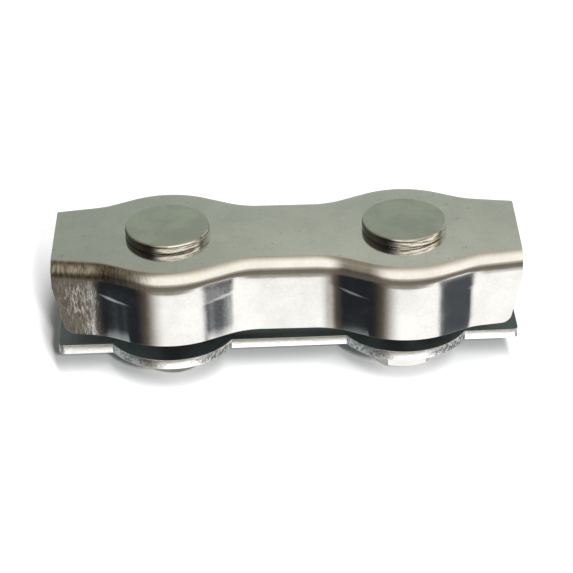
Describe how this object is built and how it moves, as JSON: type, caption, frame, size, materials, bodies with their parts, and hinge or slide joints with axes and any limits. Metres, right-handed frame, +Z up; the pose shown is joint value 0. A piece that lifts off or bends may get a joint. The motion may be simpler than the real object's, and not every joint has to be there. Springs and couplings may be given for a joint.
{
  "type": "wire rope clip",
  "caption": "Wire rope clip: a wavy pressed channel and a flat clamp plate grip ropes laid side by side, drawn together by nuts on square-neck bolts.",
  "frame": {"origin": "middle of the clip on the plane that the bolts' ends stand on, so it is the centre of the bounding box's underside", "axes": "+X along the ropes and the channel, +Y across the channel, +Z up from the nuts to the bolts' heads"},
  "size_m": [0.0552, 0.0208, 0.0192],
  "materials": {
    "channel_steel": "polished pressed stainless steel, satin on the roof and near mirror on the flanges",
    "plate_steel": "tumbled stainless steel with bright punched edges",
    "bolt_steel": "satin stainless steel with a polished rim",
    "nut_steel": "bright machined stainless steel"
  },
  "bodies": {
    "clip_body": {"channel": "channel_steel", "bolt_left": "bolt_steel", "bolt_right": "bolt_steel"},
    "plate": {"clamp_plate": "plate_steel"},
    "nut_left": {"nut_left": "nut_steel"},
    "nut_right": {"nut_right": "nut_steel"}
  },
  "joints": [
    {"name": "plate_slide", "type": "slide", "parent": "clip_body", "child": "plate", "axis": [0, 0, 1], "range_m": [-0.0007, 0.0089]},
    {"name": "nut_left_turn", "type": "hinge", "parent": "plate", "child": "nut_left", "pos_m": [-0.01398, 0, 0.00258], "axis": [0, 0, 1], "range_deg": [-316, 4006]},
    {"name": "nut_right_turn", "type": "hinge", "parent": "plate", "child": "nut_right", "pos_m": [0.01398, 0, 0.00258], "axis": [0, 0, 1], "range_deg": [-316, 4006]}
  ],
  "couplings": [
    {"joint": "nut_left_turn", "follows": "plate_slide", "rad_per_m": 7854},
    {"joint": "nut_right_turn", "follows": "plate_slide", "rad_per_m": 7854}
  ]
}
